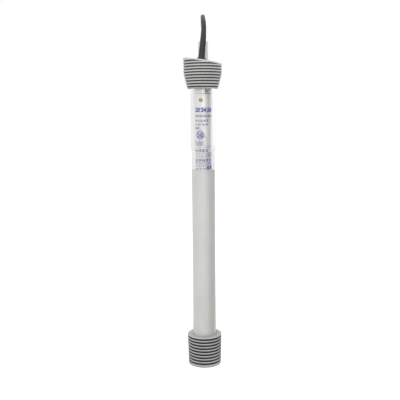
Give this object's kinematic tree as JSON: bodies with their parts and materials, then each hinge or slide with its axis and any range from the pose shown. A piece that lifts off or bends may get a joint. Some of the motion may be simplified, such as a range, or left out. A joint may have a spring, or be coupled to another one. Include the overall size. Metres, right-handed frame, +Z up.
{
  "type": "submersible aquarium heater",
  "caption": "Upright glass-tube aquarium heater with a ribbed head cap and foot bumper, a turning temperature knob, an adjustable bimetal thermostat, and a supply cord with plug.",
  "frame": {"origin": "centre of the foot bumper's underside, on the surface the heater stands on", "axes": "+Z up along the glass tube, +X to the right as pictured, +Y away from the viewer; the lid falls towards +X"},
  "size_m": [0.0386, 0.2387, 0.3604],
  "materials": {
    "clear_glass": "clear, polished",
    "grey_rubber": "matt grey moulded rubber",
    "dark_rubber": "matt dark rubber",
    "boot_rubber": "black moulded rubber, satin",
    "cord_rubber": "black cord sheath, satin",
    "pale_plastic": "light grey, matt",
    "knob_plastic": "light grey, ribbed",
    "dark_plastic": "dark grey, matt",
    "white_plastic": "white, satin",
    "tie_plastic": "black, matt",
    "liner_grey": "light grey sheet, satin",
    "ceramic": "unglazed off-white ceramic",
    "steel": "brushed",
    "resistance_wire": "drawn resistance wire",
    "copper": "bare copper",
    "brass": "stamped brass",
    "contact_silver": "silver alloy",
    "lamp_glass": "amber lamp glass"
  },
  "bodies": {
    "heater": {"glass_tube": "clear_glass", "base_bumper": "grey_rubber", "base_rings": "dark_rubber", "top_cap": "grey_rubber", "cap_rings": "dark_rubber", "cap_lid": "pale_plastic", "head_insert": "dark_plastic", "shaft_seal_ring": "dark_rubber", "seal_stopper": "dark_rubber", "cord_boot": "boot_rubber", "cord_inner_end": "cord_rubber", "cord_crimp_ring": "brass", "supply_leads": "white_plastic", "end_cushion": "dark_rubber", "heat_sleeve": "liner_grey", "upper_core_disc": "ceramic", "lower_core_disc": "ceramic", "ceramic_core": "ceramic", "support_rod": "steel", "rod_nut": "steel", "heating_coil": "resistance_wire", "coil_leads": "copper", "thermostat_carrier": "white_plastic", "carrier_eyelet": "brass", "supply_terminal": "brass", "anchor_bracket": "brass", "anchor_rivets": "brass", "fixed_contact": "contact_silver", "contact_leaf": "brass", "snap_magnet": "steel", "pilot_lamp": "lamp_glass", "power_cord": "cord_rubber", "cord_hank": "cord_rubber", "cord_tail": "cord_rubber", "cord_tie": "tie_plastic", "plug_body": "boot_rubber", "plug_blades": "brass"},
    "knob": {"temperature_knob": "knob_plastic", "adjuster_shaft": "steel"},
    "adjuster": {"adjuster_nut": "white_plastic"},
    "contact_arm": {"bimetal_strip": "steel", "moving_contact": "contact_silver"}
  },
  "joints": [
    {"name": "knob_turn", "type": "hinge", "parent": "heater", "child": "knob", "pos_m": [0.0007, 0.007, 0.32], "axis": [0, 0, 1], "range_deg": [-135, 135]},
    {"name": "nut_slide", "type": "slide", "parent": "heater", "child": "adjuster", "axis": [0, 0, 1], "range_m": [-0.00075, 0.00075]},
    {"name": "contact_arm_swing", "type": "hinge", "parent": "heater", "child": "contact_arm", "pos_m": [0, 0.00385, 0.2184], "axis": [-1, 0, 0], "range_deg": [0, 2.5], "stiffness_Nm_per_rad": 0.02, "springref_deg": -2.86}
  ],
  "couplings": [
    {"joint": "knob_turn", "follows": "nut_slide", "rad_per_m": 3141.6}
  ]
}
